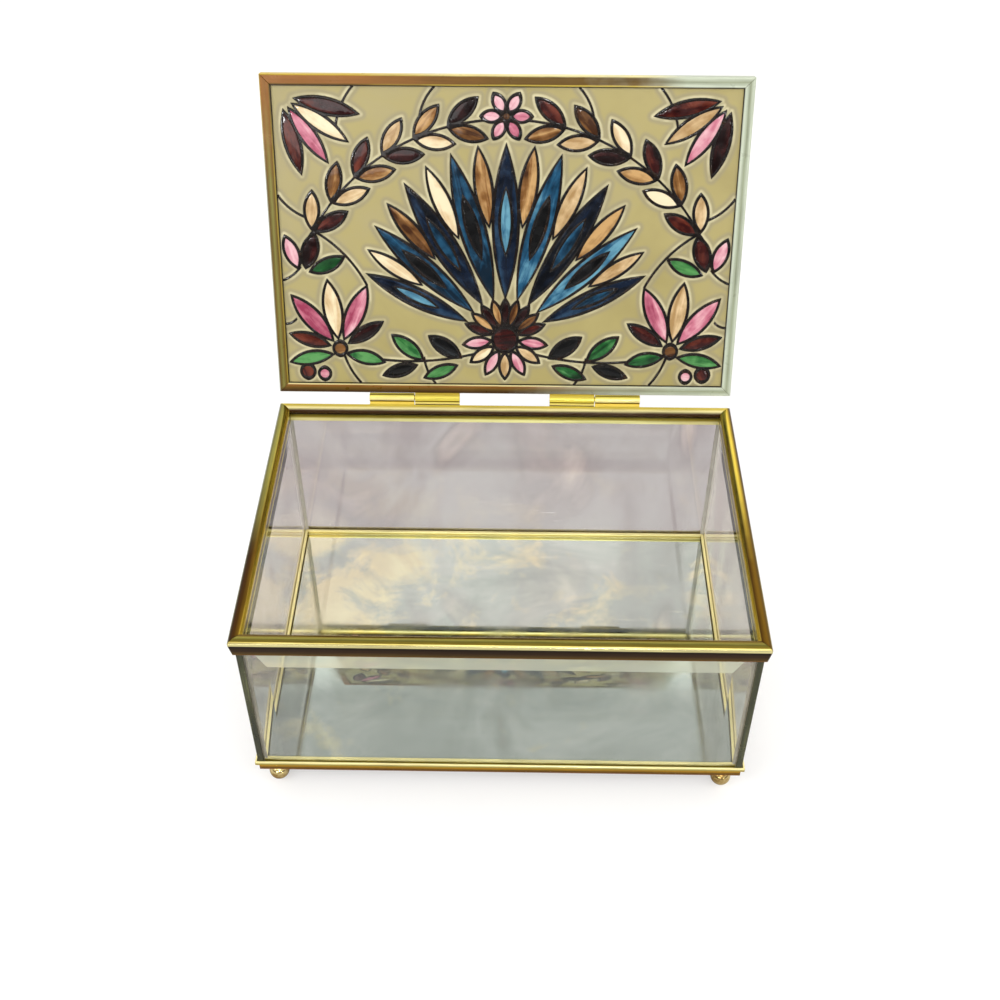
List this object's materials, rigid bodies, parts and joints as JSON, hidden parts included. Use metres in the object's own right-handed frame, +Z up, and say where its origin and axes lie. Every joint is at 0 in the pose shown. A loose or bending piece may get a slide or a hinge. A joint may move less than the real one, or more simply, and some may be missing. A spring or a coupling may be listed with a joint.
{
  "type": "glass casket box",
  "caption": "Bevelled glass keepsake box in brass channels with a mirror floor, ball feet and a hinged stained-glass lid.",
  "frame": {"origin": "on the surface that the feet stand on, under the middle of the box with its lid open", "axes": "+X to the right seen from the front, +Y towards the hinges and the back, +Z up"},
  "size_m": [0.165, 0.1545, 0.1847],
  "materials": {
    "wall_glass": "clear polished plate glass with bevelled edges",
    "adhesive": "clear set adhesive",
    "mirror": "silvered glass, a little hazy",
    "card": "dark backing card",
    "brass": "bright lacquered brass, a little worn",
    "hinge_brass": "bright drawn brass",
    "foot_brass": "polished turned brass",
    "lid_glass": "frosted khaki ground on clear glass",
    "leading": "raised glossy black leading",
    "inlay_navy": "streaky navy glass",
    "inlay_teal": "streaky teal glass",
    "inlay_black": "glossy black glass",
    "inlay_green": "streaky leaf-green glass",
    "inlay_maroon": "dark maroon glass",
    "inlay_pink": "pearly pink glass",
    "inlay_cream": "pearly cream glass",
    "inlay_amber": "streaky amber-brown glass"
  },
  "bodies": {
    "box": {"front_glass": "wall_glass", "back_glass": "wall_glass", "left_glass": "wall_glass", "right_glass": "wall_glass", "corner_bead_front_left": "adhesive", "corner_bead_front_right": "adhesive", "corner_bead_back_left": "adhesive", "corner_bead_back_right": "adhesive", "floor_mirror": "mirror", "floor_backing": "card", "base_channel_front": "brass", "base_channel_back": "brass", "base_channel_left": "brass", "base_channel_right": "brass", "rim_channel_front": "brass", "rim_channel_back": "brass", "rim_channel_left": "brass", "rim_channel_right": "brass", "foot_front_left": "foot_brass", "foot_front_right": "foot_brass", "foot_back_left": "foot_brass", "foot_back_right": "foot_brass", "hinge_left_box_leaf": "hinge_brass", "hinge_left_pin": "hinge_brass", "hinge_right_box_leaf": "hinge_brass", "hinge_right_pin": "hinge_brass"},
    "lid": {"hinge_left_lid_leaf": "hinge_brass", "hinge_right_lid_leaf": "hinge_brass", "lid_channel_front": "brass", "lid_channel_back": "brass", "lid_channel_left": "brass", "lid_channel_right": "brass", "lid_glass": "lid_glass", "lid_leading": "leading", "inlays_navy": "inlay_navy", "inlays_teal": "inlay_teal", "inlays_black": "inlay_black", "inlays_green": "inlay_green", "inlays_maroon": "inlay_maroon", "inlays_pink": "inlay_pink", "inlays_cream": "inlay_cream", "inlays_amber": "inlay_amber"}
  },
  "joints": [
    {"name": "lid_hinge", "type": "hinge", "parent": "box", "child": "lid", "pos_m": [0, 0.03866, 0.0752], "axis": [1, 0, 0], "range_deg": [0, 108]}
  ]
}
